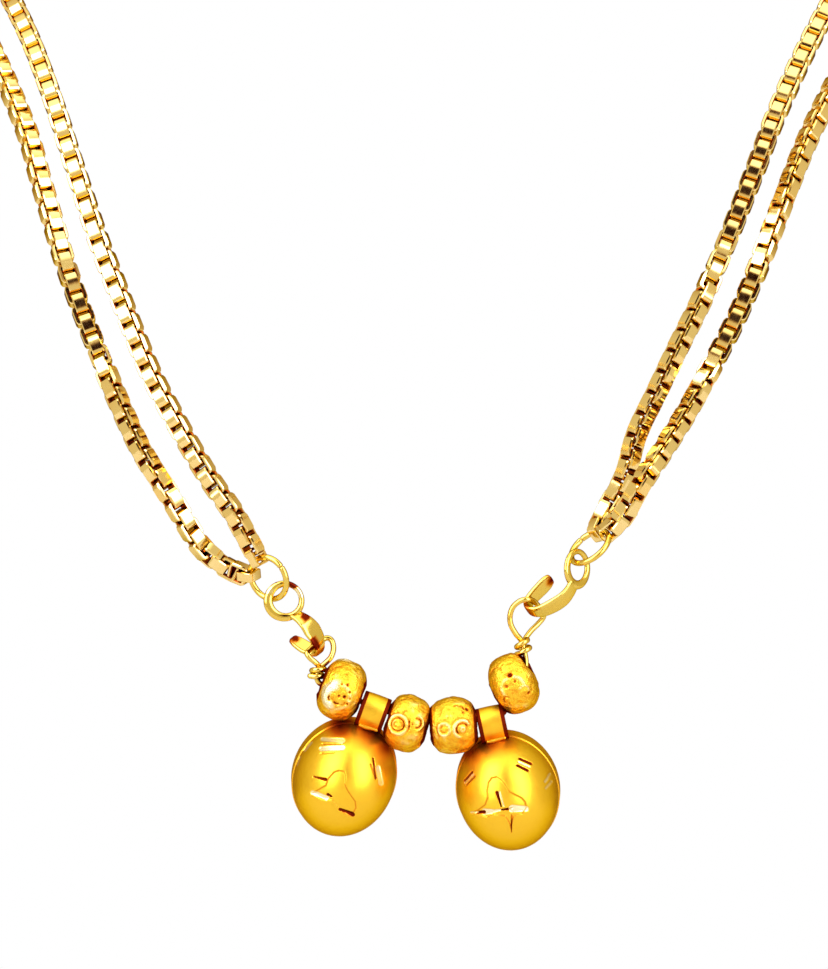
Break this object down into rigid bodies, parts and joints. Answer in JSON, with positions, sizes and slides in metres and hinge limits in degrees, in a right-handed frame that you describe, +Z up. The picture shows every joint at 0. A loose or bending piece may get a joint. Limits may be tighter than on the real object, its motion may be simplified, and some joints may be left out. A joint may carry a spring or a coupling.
{
  "type": "mangalsutra",
  "caption": "Box-chain mangalsutra with domed cup pendants (vatis) and stamped beads strung on a wire between hooks.",
  "frame": {"origin": "nape: between the two strands at the middle of the back, where the necklace rests on a neck", "axes": "+Z up as worn, -Y towards the front where the vatis hang, +X to the right of a viewer who looks at the front"},
  "size_m": [0.1126, 0.1242, 0.1209],
  "materials": {
    "gold_chain": "polished",
    "gold_wire": "polished",
    "gold_bead": "satin",
    "gold_cup": "polished"
  },
  "bodies": {
    "root": {"chain_outer": "gold_chain", "chain_inner": "gold_chain", "end_link_outer_left": "gold_chain", "end_link_inner_left": "gold_chain", "end_link_inner_right": "gold_chain", "end_link_outer_right": "gold_chain", "jump_ring_left": "gold_wire", "jump_ring_right": "gold_wire", "hook_left": "gold_wire", "hook_right": "gold_wire", "bead_wire": "gold_wire", "bead_outer_left": "gold_bead", "bead_inner_left": "gold_bead", "bead_inner_right": "gold_bead", "bead_outer_right": "gold_bead"},
    "vati_left": {"vati_left": "gold_cup"},
    "vati_right": {"vati_right": "gold_cup"}
  },
  "joints": [
    {"name": "vati_left_swing", "type": "hinge", "parent": "root", "child": "vati_left", "pos_m": [-0.005, -0.118, -0.10368], "axis": [0.9397, 0, -0.342], "range_deg": [-65, 60]},
    {"name": "vati_right_swing", "type": "hinge", "parent": "root", "child": "vati_right", "pos_m": [0.0064, -0.118, -0.1047], "axis": [0.9781, 0, 0.2079], "range_deg": [-55, 55]}
  ]
}
